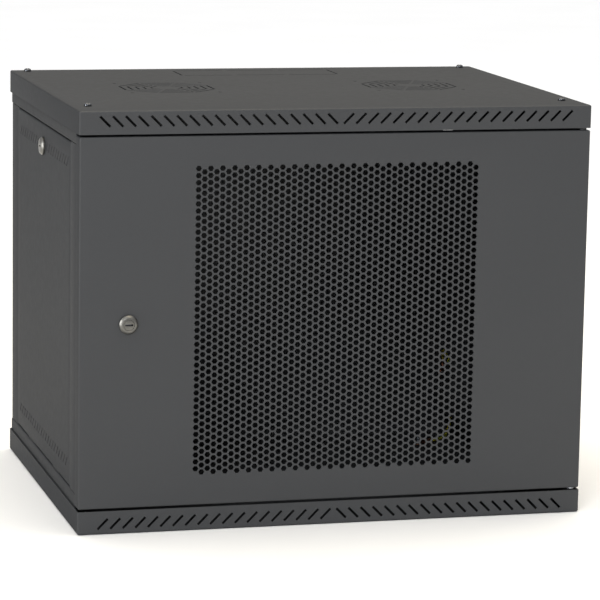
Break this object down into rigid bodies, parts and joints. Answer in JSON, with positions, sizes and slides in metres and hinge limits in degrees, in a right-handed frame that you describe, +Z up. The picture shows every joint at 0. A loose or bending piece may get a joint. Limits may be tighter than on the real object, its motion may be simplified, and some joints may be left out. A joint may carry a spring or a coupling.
{
  "type": "wall-mounted network server rack cabinet",
  "caption": "Steel wall cabinet for 19-inch network equipment, with a perforated front door, lift-out side panels, vented trays and adjustable rack rails.",
  "frame": {"origin": "middle of the base tray's underside", "axes": "+Z up, the door faces -Y, +X is the hinge side, on the right as seen from the front"},
  "size_m": [0.6036, 0.4608, 0.4854],
  "materials": {
    "powder_coat": "satin fine texture",
    "zinc": "zinc plated",
    "nickel": "satin nickel",
    "black_zinc": "black zinc plate",
    "spring_steel": "bright drawn",
    "copper": "tinned copper, worn",
    "earth_insulation": "green and yellow"
  },
  "bodies": {
    "frame": {"top_cover": "powder_coat", "base_tray": "powder_coat", "rear_panel": "powder_coat", "upper_hinge_bracket": "powder_coat", "lower_hinge_bracket": "powder_coat", "lower_hinge_pin": "zinc", "hinge_bush": "zinc", "base_earth_lug": "copper", "post_earth_lug": "copper", "base_earth_nut": "zinc", "post_earth_nut": "zinc", "earth_wire": "earth_insulation", "left_top_rail": "powder_coat", "left_bottom_rail": "powder_coat", "left_front_post": "powder_coat", "left_rear_post": "powder_coat", "left_lower_depth_bar": "powder_coat", "left_upper_depth_bar": "powder_coat", "left_lower_rear_panel_screw": "zinc", "left_upper_rear_panel_screw": "zinc", "left_front_cover_screw": "black_zinc", "left_rear_cover_screw": "black_zinc", "left_front_base_nut": "zinc", "left_rear_base_nut": "zinc", "right_top_rail": "powder_coat", "right_bottom_rail": "powder_coat", "right_front_post": "powder_coat", "right_rear_post": "powder_coat", "right_lower_depth_bar": "powder_coat", "right_upper_depth_bar": "powder_coat", "right_lower_rear_panel_screw": "zinc", "right_upper_rear_panel_screw": "zinc", "right_front_cover_screw": "black_zinc", "right_rear_cover_screw": "black_zinc", "right_front_base_nut": "zinc", "right_rear_base_nut": "zinc"},
    "door": {"door_panel": "powder_coat", "pin_guide": "powder_coat", "hinge_pin_spring": "spring_steel", "door_lock_housing": "nickel", "door_lock_nut": "zinc"},
    "upper_pin": {"upper_hinge_pin": "zinc"},
    "door_cam": {"door_lock_plug": "nickel", "door_lock_cam": "zinc"},
    "left_panel": {"left_side_panel": "powder_coat", "left_lock_housing": "nickel", "left_lock_nut": "zinc"},
    "left_cam": {"left_lock_plug": "nickel", "left_lock_cam": "zinc"},
    "left_rack": {"left_rack_rail": "powder_coat", "left_lower_rail_bolt": "zinc", "left_upper_rail_bolt": "zinc"},
    "right_panel": {"right_side_panel": "powder_coat", "right_lock_housing": "nickel", "right_lock_nut": "zinc"},
    "right_cam": {"right_lock_plug": "nickel", "right_lock_cam": "zinc"},
    "right_rack": {"right_rack_rail": "powder_coat", "right_lower_rail_bolt": "zinc", "right_upper_rail_bolt": "zinc"}
  },
  "joints": [
    {"name": "door_hinge", "type": "hinge", "parent": "frame", "child": "door", "pos_m": [0.2915, -0.22, 0.2407], "axis": [0, 0, 1], "range_deg": [0, 180]},
    {"name": "upper_pin_pull", "type": "slide", "parent": "door", "child": "upper_pin", "axis": [0, 0, -1], "range_m": [0, 0.007], "stiffness_N_per_m": 300, "springref_m": -0.008, "deforming": ["hinge_pin_spring"]},
    {"name": "door_lock_turn", "type": "hinge", "parent": "door", "child": "door_cam", "pos_m": [-0.243, -0.228, 0.2406], "axis": [0, 1, 0], "range_deg": [0, 90]},
    {"name": "left_panel_tilt", "type": "hinge", "parent": "frame", "child": "left_panel", "pos_m": [-0.297, 0.011, 0.0414], "axis": [0, -1, 0], "range_deg": [0, 20]},
    {"name": "left_lock_turn", "type": "hinge", "parent": "left_panel", "child": "left_cam", "pos_m": [-0.297, 0.01, 0.4137], "axis": [1, 0, 0], "range_deg": [0, 90]},
    {"name": "left_rack_depth", "type": "slide", "parent": "frame", "child": "left_rack", "axis": [0, 1, 0], "range_m": [0, 0.16]},
    {"name": "right_panel_tilt", "type": "hinge", "parent": "frame", "child": "right_panel", "pos_m": [0.297, 0.011, 0.0414], "axis": [0, 1, 0], "range_deg": [0, 20]},
    {"name": "right_lock_turn", "type": "hinge", "parent": "right_panel", "child": "right_cam", "pos_m": [0.297, 0.01, 0.4137], "axis": [1, 0, 0], "range_deg": [0, 90]},
    {"name": "right_rack_depth", "type": "slide", "parent": "frame", "child": "right_rack", "axis": [0, 1, 0], "range_m": [0, 0.16]}
  ]
}
